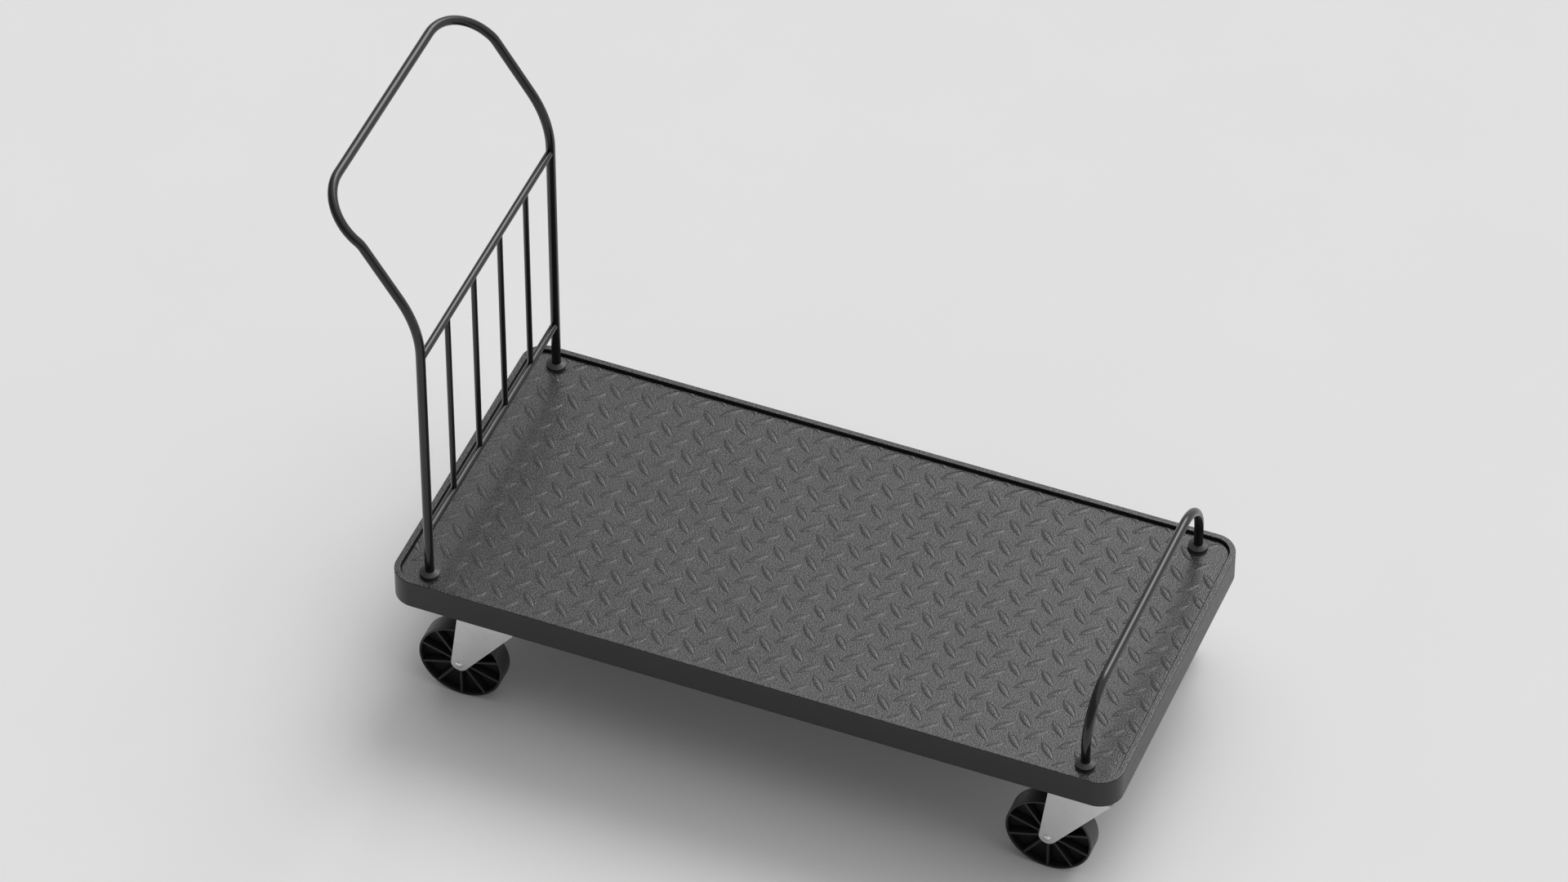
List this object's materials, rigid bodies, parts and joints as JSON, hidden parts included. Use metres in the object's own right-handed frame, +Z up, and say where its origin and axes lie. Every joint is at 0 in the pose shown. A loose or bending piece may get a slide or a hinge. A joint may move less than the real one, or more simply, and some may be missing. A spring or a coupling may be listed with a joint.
{
  "type": "platform luggage cart",
  "caption": "Flat-bed luggage cart: a tread-plate deck in a raised steel rim, a leaning tubular push handle with upright bars, a low end hoop and swivel casters.",
  "frame": {"origin": "on the floor, under the middle of the cart's whole box", "axes": "+X along the deck towards the hoop, with the push handle at -X; +Y to the left of someone pushing; +Z up"},
  "size_m": [1.3866, 0.6, 1.0139],
  "materials": {
    "rim_coat": "satin",
    "deck_coat": "fine grain, semi-gloss",
    "frame_coat": "satin",
    "tube_coat": "semi-gloss",
    "collar_coat": "semi-gloss",
    "zinc": "zinc plated",
    "bearing_steel": "pressed, greased",
    "bright_steel": "bright plated",
    "wheel_plastic": "moulded",
    "tyre_rubber": "matte",
    "bush_plastic": "smooth"
  },
  "bodies": {
    "chassis": {"deck_rim": "rim_coat", "deck_plate": "deck_coat", "bolster_rear": "frame_coat", "bolster_front": "frame_coat", "side_rail_left": "frame_coat", "side_rail_right": "frame_coat", "crossmember_rear": "frame_coat", "crossmember_front": "frame_coat", "handle_tube": "tube_coat", "handle_upper_rail": "tube_coat", "handle_lower_rail": "tube_coat", "handle_bar_1": "tube_coat", "handle_bar_2": "tube_coat", "handle_bar_3": "tube_coat", "handle_bar_4": "tube_coat", "hoop_tube": "tube_coat", "collar_handle_left": "collar_coat", "foot_bolt_handle_left": "bright_steel", "collar_handle_right": "collar_coat", "foot_bolt_handle_right": "bright_steel", "collar_hoop_left": "collar_coat", "foot_bolt_hoop_left": "bright_steel", "collar_hoop_right": "collar_coat", "foot_bolt_hoop_right": "bright_steel", "caster_rear_left_top_plate": "zinc", "caster_rear_left_kingpin": "bright_steel", "caster_rear_right_top_plate": "zinc", "caster_rear_right_kingpin": "bright_steel", "caster_front_left_top_plate": "zinc", "caster_front_left_kingpin": "bright_steel", "caster_front_right_top_plate": "zinc", "caster_front_right_kingpin": "bright_steel"},
    "swivel_rear_left": {"caster_rear_left_bearing": "bearing_steel", "caster_rear_left_fork": "zinc", "caster_rear_left_axle_bolt": "bright_steel", "caster_rear_left_axle_nut": "bright_steel"},
    "wheel_rear_left": {"caster_rear_left_wheel": "wheel_plastic", "caster_rear_left_tyre": "tyre_rubber", "caster_rear_left_bush": "bush_plastic"},
    "swivel_rear_right": {"caster_rear_right_bearing": "bearing_steel", "caster_rear_right_fork": "zinc", "caster_rear_right_axle_bolt": "bright_steel", "caster_rear_right_axle_nut": "bright_steel"},
    "wheel_rear_right": {"caster_rear_right_wheel": "wheel_plastic", "caster_rear_right_tyre": "tyre_rubber", "caster_rear_right_bush": "bush_plastic"},
    "swivel_front_left": {"caster_front_left_bearing": "bearing_steel", "caster_front_left_fork": "zinc", "caster_front_left_axle_bolt": "bright_steel", "caster_front_left_axle_nut": "bright_steel"},
    "wheel_front_left": {"caster_front_left_wheel": "wheel_plastic", "caster_front_left_tyre": "tyre_rubber", "caster_front_left_bush": "bush_plastic"},
    "swivel_front_right": {"caster_front_right_bearing": "bearing_steel", "caster_front_right_fork": "zinc", "caster_front_right_axle_bolt": "bright_steel", "caster_front_right_axle_nut": "bright_steel"},
    "wheel_front_right": {"caster_front_right_wheel": "wheel_plastic", "caster_front_right_tyre": "tyre_rubber", "caster_front_right_bush": "bush_plastic"}
  },
  "joints": [
    {"name": "swivel_turn_rear_left", "type": "hinge", "parent": "chassis", "child": "swivel_rear_left", "pos_m": [-0.41368, 0.2626, 0.19955], "axis": [0, 0, 1], "continuous": true},
    {"name": "wheel_spin_rear_left", "type": "hinge", "parent": "swivel_rear_left", "child": "wheel_rear_left", "pos_m": [-0.45868, 0.2626, 0.07427], "axis": [0, 1, 0], "continuous": true},
    {"name": "swivel_turn_rear_right", "type": "hinge", "parent": "chassis", "child": "swivel_rear_right", "pos_m": [-0.41368, -0.2626, 0.19955], "axis": [0, 0, 1], "continuous": true},
    {"name": "wheel_spin_rear_right", "type": "hinge", "parent": "swivel_rear_right", "child": "wheel_rear_right", "pos_m": [-0.45868, -0.2626, 0.07427], "axis": [0, 1, 0], "continuous": true},
    {"name": "swivel_turn_front_left", "type": "hinge", "parent": "chassis", "child": "swivel_front_left", "pos_m": [0.62032, 0.2626, 0.19955], "axis": [0, 0, 1], "continuous": true},
    {"name": "wheel_spin_front_left", "type": "hinge", "parent": "swivel_front_left", "child": "wheel_front_left", "pos_m": [0.57532, 0.2626, 0.07427], "axis": [0, 1, 0], "continuous": true},
    {"name": "swivel_turn_front_right", "type": "hinge", "parent": "chassis", "child": "swivel_front_right", "pos_m": [0.62032, -0.2626, 0.19955], "axis": [0, 0, 1], "continuous": true},
    {"name": "wheel_spin_front_right", "type": "hinge", "parent": "swivel_front_right", "child": "wheel_front_right", "pos_m": [0.57532, -0.2626, 0.07427], "axis": [0, 1, 0], "continuous": true}
  ]
}
